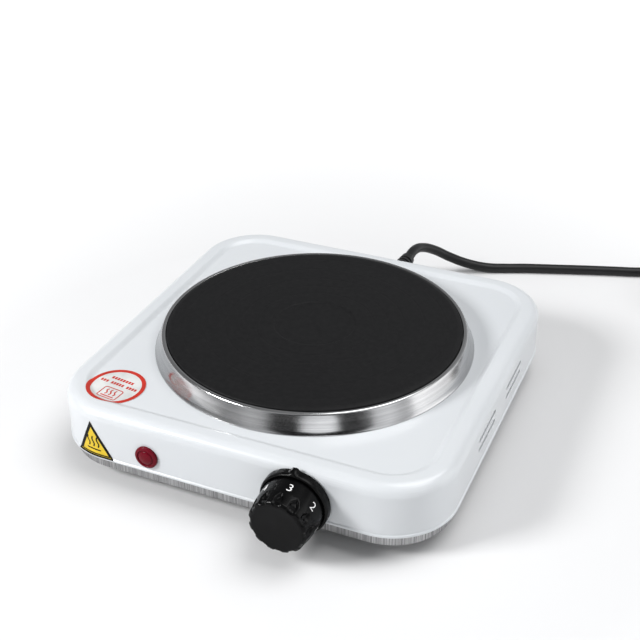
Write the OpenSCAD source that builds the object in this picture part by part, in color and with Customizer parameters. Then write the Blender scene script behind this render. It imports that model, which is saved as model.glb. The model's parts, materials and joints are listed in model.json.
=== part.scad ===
// Single-burner electric hot plate, in millimetres.
// +Z is up, the dial faces -Y, and the feet stand on z = 0.

/* [Body] */
// Width of the body, left to right
body_w = 205; // [190:1:260]
// Depth of the body, front to back
body_d = 205; // [190:1:260]
// Height of the housing's side wall
housing_h = 27.7; // [26:0.1:36]
// Corner radius of the body, seen from above
corner_r = 33; // [24:1:38]
// Radius of the housing's top edge
edge_r = 6; // [3:0.5:8]
// Width of the raised rim round the top panel
rim_w = 11.3; // [9:0.1:14]
// Depth of the panel below the rim
panel_drop = 1.7; // [1:0.1:2.5]
// Thickness of the housing's steel sheet
sheet = 0.8; // [0.6:0.1:1.2]
// How far the rolled hem stands out of the wall
hem_out = 0.5; // [0.3:0.1:0.8]
// Height of the rolled hem
hem_h = 1.4; // [1:0.1:2.5]

/* [Base] */
// Height of the steel base that shows below the housing
base_h = 6.5; // [5:0.1:9]
// Gap between the base's outside and the wall's outside
base_inset = 2.2; // [1.6:0.1:3]
// Thickness of the base's steel sheet
base_sheet = 0.8; // [0.6:0.1:1.2]
// How far the base reaches up inside the housing
base_lap = 2.4; // [1.5:0.1:2.6]
// Height of a foot
foot_h = 8; // [6:0.5:12]
// Radius of a foot
foot_r = 8; // [7:0.5:10]
// Distance from the wall to a foot's centre
foot_inset = 28; // [26:1:32]
// Radius of a foot screw's shank
foot_screw_r = 1.75; // [1.5:0.05:2]

/* [Plate] */
// Radius of the cast-iron plate
plate_r = 77.5; // [70:0.5:80]
// Height of the plate's top above the panel
plate_rise = 11.25; // [9.5:0.05:13]
// Thickness of the plate's outer edge
plate_edge = 5.5; // [4.5:0.1:6.5]
// Height of the plate from its skirt's foot to its top
plate_h = 17.3; // [15:0.1:18]
// Thickness of the plate above the heater grooves
plate_top_t = 6.5; // [6:0.1:7.5]
// Radius of the shallow dish at the plate's centre
dish_r = 21.5; // [15:0.5:24]
// Depth of the dish
dish_depth = 0.4; // [0.2:0.1:0.8]
// How far the trim ring's foot stands out past the plate
ring_reach = 6.5; // [6:0.1:8]
// Thickness of the trim ring's steel
ring_t = 0.6; // [0.5:0.1:0.8]
// Drop from the plate's top to the trim ring's lip
lip_drop = 1; // [0.6:0.1:2]

/* [Dial] */
// Distance of the dial's axis to the right of the centre
dial_x = 36; // [30:0.5:44]
// Height of the dial's axis above the housing's lower edge
dial_up = 9.8; // [9.8:0.1:12]
// Depth of the fixed collar
collar_h = 5.2; // [4.5:0.1:6]
// Radius of the knob's skirt
knob_r = 15.3; // [14.5:0.1:16]
// Radius of the knob at its front face
knob_face_r = 13.9; // [13:0.1:14.2]
// Distance from the housing's wall to the knob's face
knob_reach = 22.5; // [20:0.5:26]
// Number of finger grooves round the knob
grooves = 12; // [8:1:14]
// Radius of the spindle
spindle_r = 3; // [2.6:0.1:3.2]

/* [Lamp] */
// Distance of the lamp to the left of the centre
lamp_x = 43.3; // [38:0.1:50]
// Height of the lamp above the housing's lower edge
lamp_up = 9.2; // [8.5:0.1:14]
// Radius of the lens's rim
lens_r = 6; // [5.5:0.1:7]
// Radius of the lens's barrel
lens_barrel_r = 4.6; // [4.2:0.1:5]

/* [Vents] */
// Length of a vent slot
vent_l = 28; // [20:1:34]
// Height of a vent slot
vent_h = 2.4; // [1.6:0.1:3]
// Height between two slots
vent_pitch = 5.8; // [4.5:0.1:6.5]
// Distance of a slot group from the body's middle
vent_y = 24; // [20:1:30]

/* [Cord] */
// Radius of the mains cord
cord_r = 3; // [2.5:0.1:3.2]
// Length of the strain relief outside the wall
relief_l = 28.5; // [22:0.5:32]

/* [Hidden] */
$fn = 96;

// Clearances
run_gap = 0.05;    // running fit of a shaft in a bore, on the radius
part_gap = 0.3;    // between pieces that only pass each other
hole_gap = 0.2;    // a hole round what goes through it, on the radius
cut = 1;           // how far a cutting solid runs past a face

// Heights
base_z = foot_h;
wall_z = base_z + base_h;
rim_z = wall_z + housing_h;
panel_z = rim_z - panel_drop;
panel_under = panel_z - sheet;
floor_top = base_z + base_sheet;
plate_z = panel_z + plate_rise;
shoulder_z = plate_z - plate_edge;
skirt_z = plate_z - plate_h;
cover_t = 0.8;
strap_t = 1.5;
cover_z = skirt_z - cover_t;
strap_z = cover_z - strap_t;

// The body stands back by half of what the knob reaches out, so the origin is under the middle of both.
body_y = (knob_reach - hem_out) / 2;
front_y = body_y - body_d / 2;
back_y = body_y + body_d / 2;
side_x = body_w / 2;

// Slots in the side walls and in the base's floor
vent_z = wall_z + housing_h / 2 - 0.5;
floor_slot_x = 38;
floor_slot_pitch = 12;
floor_slot_w = 4;
floor_slot_l = 34;

// Feet and their fixing
post_r = 4.5;
foot_head_r = 3.4;
foot_bore_r = 4;               // bore that hides the screw's head

// Plate and ring
plate_skirt_r = plate_r - 2.9;
plate_hole_r = plate_skirt_r + 1.6;
ring_r = plate_r + ring_reach;
skirt_wall = 3.5;              // wall of the plate's skirt outside the first groove
groove_w = 12.5;               // width of a heater groove
rib_w = 2;                     // rib between two grooves
boss_r = 13;                   // solid middle of the plate, which holds the stud
coils = 3;                     // grooves that hold a heating coil, counted from the skirt
coil_wire_r = 2;
terminal_r = 0.9;
terminal_l = 5;                // how far a coil end stands out under the cover
bead_r = 2.5;
bead_head_r = 3.6;
bead_l = 3.5;
coil_z = skirt_z + 4.5;
groove_top = plate_z - plate_top_t;
strap_w = 20;
strap_foot = 11;               // length of the strap's foot under the panel
stud_r = 3;
stud_z = strap_z - 15.7;
spacer_r = 5;
spacer_l = 7.4;
shield_t = 0.6;
shield_z = strap_z - spacer_l - shield_t;
shield_r = plate_skirt_r - 10.6;
washer_r = 7;
washer_t = 1.2;
nut_r = 5.8;                   // to a corner of the hexagon
nut_h = 5;

// Dial and thermostat, measured outwards from the front wall's face
dial_z = wall_z + dial_up;
collar_gap = 0.5;              // between the knob's skirt and the collar, on the radius
collar_wall = 1.2;
collar_floor = 1.2;
collar_r = knob_r + collar_gap + collar_wall;
plate_back = sheet + 1;        // back face of the thermostat's bracket
bush_r = spindle_r + 1.5;
bush_head_r = bush_r + 2;
knob_boss_r = spindle_r + 2.5;
bush_step = plate_back + 1.2;
spindle_in = 10.9;             // how far the spindle reaches inwards
bush_in = 14.5;
pin_r = 1.5;
pin_in = 11.8;
pin_l = 4;
leaf_t = 0.4;
leaf_in = pin_in + pin_l + part_gap;
fixed_in = leaf_in + leaf_t + 2.5;
bracket_h = 22;
stack_x = 18;                  // distance of the ceramic stack from the dial's axis
stack_r = 5;
rivet_r = 1.2;
screw_x = 9;
screw_r = 1.75;

// Lamp, cord entry and terminal block
lamp_z = wall_z + lamp_up;
relief_x = 6;
relief_z = wall_z + 11.5;
relief_barrel_r = 6.8;
sheath_in = 12;
collar_in = 4;
block_w = 34;
block_d = 16;
block_h = 14;
block_y = back_y - 38.5;       // front face of the terminal block
wire_z = floor_top + block_h / 2;
way = 10;                      // distance between two ways of the block
under_z = floor_top + 3;       // height of the wires under the heat shield
wire_r = 1.2;
core_r = 0.85;
sleeve_r = 2.2;
sleeve_bore_r = 1.4;
earth_x = relief_x + 32;       // the earth screw, beside the block

// Cord, from the strain relief's end to the coil, then from the coil to the plug
cord_route = [
    [6, 142, 26], [6, 154, 26], [8, 165, 23], [13.5, 174.5, 17.5], [22, 181, 11],
    [33, 186, 6], [45, 190.5, 3.4], [56, 195, 3], [68, 200, 3], [85, 206, 3],
    [102, 212, 3], [120, 218, 3], [138, 224, 3], [150, 229.5, 3.2], [161, 236.3, 3.5],
    [172, 243.2, 3.6]
];
end_route = [
    [226, 212, 9.9], [225.3, 201, 9.8], [222, 190, 9.8], [217.5, 180, 10.2],
    [214.5, 170, 10.8], [214, 160, 11]
];
coil_at = [190, 212];
coil_in_r = 27;
coil_out_r = 39;
coil_low = 0.6;
coil_high = 12.9;
tie_t = 0.6;
label_t = 0.12;
label_gap = 0.15;
label_r = 15;
label_in = [28.5, 24.5];       // its centre, from the left wall and the front wall
warning_triangle = [[28.2, 21], [21, 2.4], [39.6, 2.4]];   // from the wall's lower left corner
plug_at = [214, 160, 11];
cord_sides = 10;
wire_sides = 8;

// ---------- Shared shapes ----------

// Outer line of the housing from a corner's centre to its lower edge, moved inwards by t
function skin(t) = concat(
    [[0, panel_z - t]],
    [for (i = [0 : 8]) step_point(i / 8, t)],
    [for (a = [90 : -10 : 0]) [
        corner_r - edge_r + (edge_r - t) * cos(a),
        rim_z - edge_r + (edge_r - t) * sin(a)
    ]]
);

// A point of the soft step between the panel and the rim
function step_point(u, t) = [
    corner_r - rim_w - 2 + 4 * u,
    panel_z - t + panel_drop * u * u * (3 - 2 * u)
];

function reversed(list) = [for (i = [len(list) - 1 : -1 : 0]) list[i]];

// Sweeps a profile round the body's outline. The profile's x runs outwards from a corner's centre.
module round_body(w, d, r) {
    turns = [[1, 1, 0], [-1, 1, 90], [-1, -1, 180], [1, -1, 270]];
    for (c = turns)
        translate([c[0] * (w / 2 - r), c[1] * (d / 2 - r), 0])
            rotate([0, 0, c[2]])
                rotate_extrude(angle = 90)
                    children();
    for (s = [0, 180])
        rotate([0, 0, s])
            translate([w / 2 - r, 0, 0])
                rotate([90, 0, 0])
                    linear_extrude(height = d - 2 * r, center = true)
                        children();
    for (s = [90, 270])
        rotate([0, 0, s])
            translate([d / 2 - r, 0, 0])
                rotate([90, 0, 0])
                    linear_extrude(height = w - 2 * r, center = true)
                        children();
}

// Puts children on the front wall, with z pointing out of it and y up
module on_front(x, z) {
    translate([x, front_y, z])
        rotate([90, 0, 0])
            children();
}

// Puts children on the back wall, with z pointing out of it
module on_back(x, z) {
    translate([x, back_y, z])
        rotate([-90, 0, 0])
            children();
}

// A cylinder between two heights
module rod(r, z0, z1) {
    translate([0, 0, z0])
        cylinder(r = r, h = z1 - z0);
}

// A round tube between two heights
module pipe(r_out, r_in, z0, z1) {
    difference() {
        rod(r_out, z0, z1);
        rod(r_in, z0 - cut, z1 + cut);
    }
}

// Children at the four foot positions
module at_feet() {
    for (sx = [-1, 1], sy = [-1, 1])
        translate([sx * (side_x - foot_inset), body_y + sy * (body_d / 2 - foot_inset), 0])
            children();
}

function unit(v) = v / norm(v);

function along(p, i) = unit(p[min(i + 1, len(p) - 1)] - p[max(i - 1, 0)]);

function ring_at(p, i, r, n) =
    let (t = along(p, i), s = unit(cross(t, [0.01, 0, 1])), u = cross(s, t))
    [for (k = [0 : n - 1]) p[i] + r * (cos(360 * k / n) * s + sin(360 * k / n) * u)];

// A tube swept along the points of a route
module tube(p, r, n) {
    rings = [for (i = [0 : len(p) - 1]) each ring_at(p, i, r, n)];
    last = (len(p) - 1) * n;
    sides = [
        for (i = [0 : len(p) - 2], k = [0 : n - 1], half = [0, 1])
            let (a = i * n + k, b = i * n + (k + 1) % n)
            half == 0 ? [a, b, b + n] : [a, b + n, a + n]
    ];
    ends = [
        [for (k = [n - 1 : -1 : 0]) k],
        [for (k = [0 : n - 1]) last + k]
    ];
    polyhedron(points = rings, faces = concat(sides, ends), convexity = 6);
}

// A smooth line of points through a few given ones
function smooth(p) = concat(
    [for (i = [0 : len(p) - 2], u = [0, 0.25, 0.5, 0.75]) spline_point(p, i, u)],
    [p[len(p) - 1]]
);

function spline_point(p, i, u) =
    let (
        a = p[max(i - 1, 0)], b = p[i], c = p[i + 1], d = p[min(i + 2, len(p) - 1)]
    )
    0.5 * (2 * b + (c - a) * u + (2 * a - 5 * b + 4 * c - d) * u * u
        + (3 * b - a - 3 * c + d) * u * u * u);

// ---------- Shell and base ----------

module vent_slots() {
    for (side = [-1, 1], group = [-1, 1], row = [-0.5, 0.5])
        translate([
            side * side_x, body_y + group * vent_y, vent_z + row * vent_pitch
        ])
            rotate([0, 90, 0])
                linear_extrude(height = 4 * sheet, center = true)
                    slot_outline(vent_h, vent_l);
}

module slot_outline(h, l) {
    square([h, l - h], center = true);
    for (end = [-1, 1])
        translate([0, end * (l - h) / 2])
            circle(r = h / 2);
}

module housing() {
    hem = [
        [corner_r, wall_z + hem_h],
        [corner_r + hem_out, wall_z + hem_h - hem_out],
        [corner_r + hem_out, wall_z],
        [corner_r - sheet, wall_z]
    ];
    color("white")
        difference() {
            union() {
                translate([0, body_y, 0])
                    round_body(body_w, body_d, corner_r)
                        polygon(concat(skin(0), hem, reversed(skin(sheet))));
                translate([0, body_y, panel_z - sheet / 2])
                    cube([body_w - 2 * corner_r, body_d - 2 * corner_r, sheet], center = true);
            }
            translate([0, body_y, 0])
                rod(plate_hole_r, panel_under - cut, panel_z + cut);
            on_front(dial_x, dial_z) {
                rod(bush_r + hole_gap, -sheet - cut, cut);
                for (s = [-1, 1])
                    translate([s * screw_x, 0, 0])
                        rod(screw_r + hole_gap, -sheet - cut, cut);
            }
            on_front(-lamp_x, lamp_z)
                rod(lens_barrel_r + hole_gap, -sheet - cut, cut);
            on_back(relief_x, relief_z)
                rod(relief_barrel_r + hole_gap, -sheet - cut, cut);
            vent_slots();
        }
}

module base_plate() {
    out = corner_r - base_inset;
    top = wall_z + base_lap;
    color("silver")
        difference() {
            union() {
                translate([0, body_y, 0])
                    round_body(body_w - 2 * base_inset, body_d - 2 * base_inset, out)
                        polygon([
                            [0, base_z], [out, base_z], [out, top],
                            [out - base_sheet, top], [out - base_sheet, floor_top], [0, floor_top]
                        ]);
                translate([0, body_y, base_z + base_sheet / 2])
                    cube([body_w - 2 * corner_r, body_d - 2 * corner_r, base_sheet], center = true);
            }
            at_feet()
                rod(foot_screw_r + hole_gap, base_z - cut, floor_top + cut);
            for (s = [-1, 1], row = [-2 : 2])
                translate([s * floor_slot_x, body_y + row * floor_slot_pitch, base_z + base_sheet / 2])
                    rotate([0, 0, 90])
                        linear_extrude(height = 4 * base_sheet, center = true)
                            slot_outline(floor_slot_w, floor_slot_l);
            translate([earth_x, block_y + block_d / 2, 0])
                rod(screw_r + run_gap, base_z - cut, floor_top + cut);
        }
}

module support_posts() {
    color("silver")
        at_feet()
            pipe(post_r, foot_screw_r + run_gap, floor_top, panel_under);
}

module foot_pads() {
    color("black")
        at_feet()
            difference() {
                union() {
                    cylinder(r1 = foot_r - 1, r2 = foot_r, h = 2);
                    rod(foot_r, 2, foot_h);
                }
                rod(foot_screw_r + hole_gap, -cut, foot_h + cut);
                rod(foot_bore_r, -cut, foot_h / 2);
            }
}

module foot_screws() {
    color("silver")
        at_feet() {
            rod(foot_head_r, foot_h / 2 - 2.2, foot_h / 2);
            rod(foot_screw_r, foot_h / 2, floor_top + 10);
        }
}

// ---------- Plate and its fixing ----------

module trim_ring() {
    lip = plate_z - lip_drop;
    in_r = plate_r + part_gap;
    foot = ring_r;
    color("silver")
        translate([0, body_y, 0])
            rotate_extrude()
                polygon([
                    [foot, panel_z], [foot - 0.4, panel_z + 1], [foot - 2.8, lip - 1.8],
                    [foot - 3.6, lip - 0.5], [foot - 4.8, lip], [in_r + 0.4, lip - 0.2],
                    [in_r, lip - 0.7], [in_r, shoulder_z], [plate_skirt_r + 0.6, shoulder_z],
                    [plate_skirt_r + 0.6, shoulder_z - ring_t], [in_r + ring_t, shoulder_z - ring_t],
                    [in_r + ring_t, lip - 0.8], [foot - 4.8, lip - ring_t],
                    [foot - 4.1, lip - 0.9], [foot - 3.5, lip - 2], [foot - 1.1, panel_z + 1.2],
                    [foot - 0.8, panel_z]
                ]);
}

module hot_plate() {
    color("dimgray")
        translate([0, body_y, 0])
            difference() {
                rotate_extrude()
                    polygon([
                        [0, skirt_z], [plate_skirt_r, skirt_z], [plate_skirt_r, shoulder_z],
                        [plate_r, shoulder_z], [plate_r, plate_z - 0.8], [plate_r - 2, plate_z],
                        [dish_r + 0.8, plate_z], [dish_r, plate_z - dish_depth],
                        [0, plate_z - dish_depth]
                    ]);
                for (i = [0 : coils - 1])
                    pipe(groove_out(i), groove_in(i), skirt_z - cut, groove_top);
                pipe(groove_out(coils), boss_r, skirt_z - cut, groove_top);
                rod(stud_r + run_gap, skirt_z - cut, groove_top);
            }
}

// Outer, inner and middle radius of a heater groove, counted inwards from the skirt
function groove_out(i) = plate_skirt_r - skirt_wall - i * (groove_w + rib_w);

function groove_in(i) = groove_out(i) - groove_w;

function coil_r(i) = groove_out(i) - groove_w / 2;

module heating_coils() {
    color("saddlebrown")
        translate([0, body_y, coil_z])
            for (i = [0 : coils - 1])
                rotate_extrude()
                    translate([coil_r(i), 0])
                        circle(r = coil_wire_r);
}

// Pressed magnesia that fills the grooves above the coils
module coil_packing() {
    color("wheat")
        translate([0, body_y, 0])
            for (i = [0 : coils - 1])
                pipe(groove_out(i), groove_in(i), coil_z + coil_wire_r, groove_top);
}

module plate_cover() {
    color("silver")
        translate([0, body_y, cover_z])
            difference() {
                cylinder(r = plate_skirt_r - 1.6, h = cover_t);
                rod(stud_r + hole_gap, -cut, cover_t + cut);
                at_terminals()
                    rod(bead_r + run_gap, -cut, cover_t + cut);
            }
}

// Children at the three coil ends, measured from the plate's axis
module at_terminals() {
    for (i = [0 : coils - 1])
        rotate([0, 0, terminal_turn(i)])
            translate([coil_r(i), 0, 0])
                children();
}

function terminal_turn(i) = -90 + 12 * (i - 1);

function terminal_at(i, z) = [
    coil_r(i) * cos(terminal_turn(i)), body_y + coil_r(i) * sin(terminal_turn(i)), z
];

module coil_terminals() {
    color("silver")
        translate([0, body_y, 0])
            at_terminals()
                rod(terminal_r, cover_z - terminal_l, coil_z - coil_wire_r);
}

module terminal_beads() {
    color("white")
        translate([0, body_y, 0])
            at_terminals()
                difference() {
                    union() {
                        rod(bead_r, cover_z - bead_l, cover_z + cover_t + 1);
                        rod(bead_head_r, cover_z - bead_l, cover_z);
                    }
                    rod(terminal_r, cover_z - bead_l - cut, cover_z + cover_t + 1 + cut);
                }
}

module centre_stud() {
    color("silver")
        translate([0, body_y, 0])
            rod(stud_r, stud_z, groove_top - 1);
}

// Spans the hole in the panel and bears up against its underside at both ends
module clamp_strap() {
    bend = plate_hole_r + 1.3;
    tip = bend + strap_foot;
    right = [
        [0, strap_z], [bend + strap_t, strap_z], [bend + strap_t, panel_under - strap_t],
        [tip, panel_under - strap_t], [tip, panel_under], [bend, panel_under],
        [bend, cover_z], [0, cover_z]
    ];
    color("silver")
        translate([0, body_y, 0])
            difference() {
                for (turn = [0, 180])
                    rotate([0, 0, turn])
                        rotate([90, 0, 0])
                            linear_extrude(height = strap_w, center = true)
                                polygon(right);
                rod(stud_r + hole_gap, strap_z - cut, cover_z + cut);
            }
}

module shield_spacer() {
    color("silver")
        translate([0, body_y, 0])
            pipe(spacer_r, stud_r + hole_gap, strap_z - spacer_l, strap_z);
}

module heat_shield() {
    color("gainsboro")
        translate([0, body_y, 0])
            difference() {
                union() {
                    rod(shield_r, shield_z, shield_z + shield_t);
                    pipe(shield_r, shield_r - shield_t, shield_z, shield_z + 1.5);
                }
                rod(stud_r + hole_gap, shield_z - cut, shield_z + shield_t + cut);
            }
}

module stud_washer() {
    color("silver")
        translate([0, body_y, 0])
            pipe(washer_r, stud_r + hole_gap, shield_z - washer_t, shield_z);
}

module stud_nut() {
    color("silver")
        translate([0, body_y, shield_z - washer_t - nut_h])
            difference() {
                cylinder(r = nut_r, h = nut_h, $fn = 6);
                rod(stud_r + run_gap, -cut, nut_h + cut);
            }
}

// ---------- Dial and thermostat ----------

module dial_collar() {
    color("black")
        on_front(dial_x, dial_z)
            difference() {
                union() {
                    rotate_extrude()
                        polygon([
                            [0, 0], [collar_r, 0], [collar_r, collar_h - 0.8],
                            [collar_r - 0.3, collar_h - 0.2], [collar_r - 0.8, collar_h], [0, collar_h]
                        ]);
                    translate([0, collar_r - 0.8, 0])
                        rod(2, 0, 3);
                }
                rod(collar_r - collar_wall, collar_floor, collar_h + cut);
                rod(bush_r + hole_gap, -cut, collar_floor + cut);
                translate([-collar_r, -2 * collar_r - dial_up + hem_h + part_gap, -cut])
                    cube([2 * collar_r, 2 * collar_r, cut + hem_out + 0.1]);
                for (s = [-1, 1])
                    translate([s * screw_x, 0, 0])
                        rod(screw_r + hole_gap, -cut, collar_floor + cut);
            }
}

module knob() {
    back = collar_floor + 0.5;
    grip = knob_reach - 8;
    hollow = 7;
    groove_r = 3.4;
    color("black")
        on_front(dial_x, dial_z)
            difference() {
                rotate_extrude()
                    polygon([
                        [0, back], [knob_r, back], [knob_r, collar_h + 1.2],
                        [knob_r - 0.3, grip], [knob_face_r + 0.2, knob_reach - 1.4],
                        [knob_face_r - 0.3, knob_reach - 0.5], [knob_face_r - 1, knob_reach],
                        [0, knob_reach]
                    ]);
                pipe(knob_r - 1.8, knob_boss_r, back - cut, hollow);
                rod(spindle_r, back - cut, knob_reach - 3.5);
                for (i = [0 : grooves - 1])
                    rotate([0, 0, 360 * (i + 0.5) / grooves])
                        translate([knob_face_r + groove_r - 0.8, 0, 0]) {
                            rod(groove_r, grip + groove_r, knob_reach + cut);
                            translate([0, 0, grip + groove_r])
                                sphere(r = groove_r);
                        }
            }
}

module dial_spindle() {
    color("silver")
        on_front(dial_x, dial_z)
            rod(spindle_r, -spindle_in, knob_reach - 3.5);
}

module spindle_bush() {
    color("goldenrod")
        on_front(dial_x, dial_z)
            difference() {
                union() {
                    rod(bush_r, -bush_in, collar_floor);
                    rod(bush_head_r, -bush_step, -plate_back);
                }
                rod(spindle_r + run_gap, -spindle_in - part_gap, collar_floor + cut);
                rod(pin_r + run_gap, -bush_in - cut, -spindle_in);
            }
}

module thermostat_bracket() {
    color("silver")
        on_front(dial_x, dial_z)
            difference() {
                translate([-stack_x - 6, -bracket_h / 2, -plate_back])
                    cube([stack_x + 20, bracket_h, plate_back - sheet]);
                rod(bush_r + run_gap, -plate_back - cut, -sheet + cut);
                for (s = [-1, 1])
                    translate([s * screw_x, 0, 0])
                        rod(screw_r + run_gap, -plate_back - cut, -sheet + cut);
                translate([-stack_x, 0, 0])
                    rod(rivet_r + run_gap, -plate_back - cut, -sheet + cut);
            }
}

module thermostat_screws() {
    color("silver")
        on_front(dial_x, dial_z)
            for (s = [-1, 1])
                translate([s * screw_x, 0, 0]) {
                    rod(screw_r, -plate_back - 3, collar_floor);
                    rod(2.8, collar_floor, collar_floor + 1.6);
                }
}

module drive_pin() {
    color("white")
        on_front(dial_x, dial_z)
            rod(pin_r, -pin_in - pin_l, -pin_in);
}

module contact_leaf() {
    color("peru")
        on_front(dial_x, dial_z) {
            difference() {
                union() {
                    translate([-stack_x, -3, -leaf_in - leaf_t])
                        cube([stack_x + 11, 6, leaf_t]);
                    translate([-stack_x, 0, 0])
                        rod(4, -leaf_in - leaf_t, -leaf_in);
                }
                translate([-stack_x, 0, 0])
                    rod(rivet_r + part_gap, -leaf_in - leaf_t - cut, -leaf_in + cut);
            }
            translate([8, 0, 0])
                rod(1.6, -leaf_in - leaf_t - 0.7, -leaf_in - leaf_t);
        }
}

module fixed_leaf() {
    color("peru")
        on_front(dial_x, dial_z) {
            difference() {
                translate([-stack_x - 9, -3, -fixed_in - leaf_t])
                    cube([stack_x + 20, 6, leaf_t]);
                translate([-stack_x, 0, 0])
                    rod(rivet_r + run_gap, -fixed_in - leaf_t - cut, -fixed_in + cut);
            }
            translate([8, 0, 0])
                rod(1.6, -fixed_in, -fixed_in + 0.8);
        }
}

module ceramic_washers() {
    color("white")
        on_front(dial_x, dial_z)
            translate([-stack_x, 0, 0]) {
                pipe(stack_r, rivet_r + run_gap, -leaf_in + part_gap, -plate_back);
                pipe(stack_r, rivet_r + run_gap, -fixed_in, -leaf_in - leaf_t - part_gap);
                pipe(stack_r, rivet_r + run_gap, -fixed_in - leaf_t - 3, -fixed_in - leaf_t);
            }
}

module stack_rivet() {
    end = fixed_in + leaf_t + 3;
    color("silver")
        on_front(dial_x, dial_z)
            translate([-stack_x, 0, 0]) {
                rod(rivet_r, -end, -sheet);
                rod(2.4, -end - 0.8, -end);
            }
}

// ---------- Lamp ----------

module lamp_lens() {
    color("darkred")
        on_front(-lamp_x, lamp_z)
            difference() {
                rotate_extrude()
                    polygon([
                        [0, -11], [lens_barrel_r, -11], [lens_barrel_r, 0], [lens_r, 0],
                        [lens_r, 0.9], [lens_r - 0.5, 1.4], [lens_r - 1.2, 1.4],
                        [lens_r * 0.6, 2], [lens_r * 0.3, 2.3], [0, 2.4]
                    ]);
                rod(lens_barrel_r - 1, -11 - cut, -0.6);
            }
}

module lamp_bulb() {
    color("orange")
        on_front(-lamp_x, lamp_z)
            rotate_extrude()
                polygon([
                    [0, -14], [lens_barrel_r - 1, -14], [lens_barrel_r - 1, -11],
                    [2.4, -11], [2.4, -4], [1.6, -2.6], [0, -2]
                ]);
}

module lamp_clip() {
    color("silver")
        on_front(-lamp_x, lamp_z)
            pipe(lens_barrel_r + 3, lens_barrel_r + run_gap, -sheet - 0.8, -sheet);
}

// ---------- Terminal block and wires ----------

module terminal_block() {
    color("white")
        difference() {
            translate([relief_x - block_w / 2, block_y, floor_top])
                cube([block_w, block_d, block_h]);
            at_ways() {
                rotate([-90, 0, 0])
                    rod(sleeve_r + run_gap, -cut, block_d + cut);
                translate([0, block_d / 2, 0])
                    rod(1.9, 0, block_h);
            }
        }
}

// Children at the front end of each way of the block
module at_ways() {
    for (i = [-1 : 1])
        translate([relief_x + i * way, block_y, wire_z])
            children();
}

module terminal_sleeves() {
    color("goldenrod")
        at_ways()
            difference() {
                rotate([-90, 0, 0])
                    pipe(sleeve_r, sleeve_bore_r, 0, block_d);
                translate([0, block_d / 2, 0])
                    rod(1.5, 0, block_h);
            }
}

module terminal_screws() {
    color("silver")
        at_ways()
            translate([0, block_d / 2, 0]) {
                rod(1.5, 0.2, block_h / 2 - 2);
                rod(1.85, block_h / 2 - 2, block_h / 2 - 0.6);
            }
}

module earth_screw() {
    color("goldenrod")
        translate([earth_x, block_y + block_d / 2, 0]) {
            rod(screw_r, base_z - 2, floor_top + 2 * wire_r);
            rod(foot_head_r, floor_top + 2 * wire_r, floor_top + 2 * wire_r + 2);
        }
}

// A core of the cord, from the end of its sheath to a way of the block: -1 is left, 1 is right
module supply_wire(side) {
    s = [relief_x + side * 1.9, back_y - sheath_in, relief_z];
    e = [relief_x + side * way, block_y + block_d - 5, wire_z];
    fall = s - e;
    tube(smooth([
        s, s - [0.08 * fall[0], 3, 0.1 * fall[2]], s - [0.6 * fall[0], 5.8, 0.6 * fall[2]],
        e + [0, 7, 0], e + [0, 3.5, 0], e
    ]), core_r, wire_sides);
}

module neutral_wire() {
    color("steelblue")
        supply_wire(-1);
}

module live_wire() {
    color("saddlebrown")
        supply_wire(0);
}

module earth_core() {
    color("limegreen")
        supply_wire(1);
}

module earth_wire() {
    e = [relief_x + way, block_y + 4, wire_z];
    t = [earth_x, block_y + block_d / 2 - screw_r - 0.2, floor_top + wire_r];
    color("limegreen")
        tube(smooth([
            e, e - [0, 4, 0], e - [0, 8, 0], e + [5, -13, -2], e + [13, -14, -4.5],
            t - [2, 10, 0], t - [0, 4, 0], t
        ]), wire_r, wire_sides);
}

// Runs under the heat shield from the block to the thermostat's fixed leaf
module thermostat_wire() {
    e = [relief_x, block_y + 4, wire_z];
    t = [dial_x - stack_x - 7.5, front_y + fixed_in + leaf_t + wire_r, dial_z];
    color("firebrick")
        tube(smooth([
            e, e - [0, 4, 0], e - [0, 8, 0], [12, body_y + 32, under_z], [18, body_y, under_z],
            [18, body_y - 40, under_z], [t[0] + 3, body_y - shield_r - 3, under_z + 4],
            t + [0, 4, -3], t
        ]), wire_r, wire_sides);
}

// The neutral wire goes from the block round the shield's front edge to the middle coil end,
// and the switched wire from the thermostat's rivet to the inner coil end.
module element_wires() {
    low = cover_z - terminal_l - wire_r - 0.1;
    neutral = [relief_x - way, block_y + 4, wire_z];
    rivet_end = [dial_x - stack_x, front_y + fixed_in + leaf_t + 3.9 + wire_r, dial_z];
    front = body_y - shield_r;
    color("dimgray") {
        tube(smooth([
            neutral, neutral - [0, 4, 0], neutral - [0, 8, 0], [-10, body_y + 32, under_z],
            [-14, body_y - 20, under_z], [-8, front + 10, under_z], [-3, front - 4, under_z + 4],
            [-1, front - 5, low - 6], [0, front - 1, low], terminal_at(1, low) - [0, 5, 0],
            terminal_at(1, low)
        ]), wire_r, wire_sides);
        tube(smooth([
            rivet_end, rivet_end + [-1, 3, 1], [dial_x - stack_x - 3, front - 2, low],
            terminal_at(2, low) - [0, 5, 0], terminal_at(2, low)
        ]), wire_r, wire_sides);
    }
}

module lamp_wires() {
    bulb_y = front_y + 14 + 0.1;
    color("orangered")
        for (s = [-1, 1])
            let (
                b = [-lamp_x + 1.8 * s, bulb_y, lamp_z],
                run = s * 3,
                e = [relief_x - block_w / 2, block_y + block_d / 2 - run, wire_z]
            )
            tube(smooth([
                b, b + [0, 5, -0.5], [-lamp_x + 2 + run, bulb_y + 16, under_z],
                [-38 + run, body_y - 30, under_z], [-38 + run, body_y + 30, under_z],
                e - [17 - run, 12, 3], e - [6, 0, 0], e
            ]), 0.9, wire_sides);
}

// ---------- Mains cord ----------

module cord_sheath() {
    color("black")
        on_back(relief_x, relief_z)
            rod(cord_r, -sheath_in, -sheet - collar_in);
}

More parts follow.
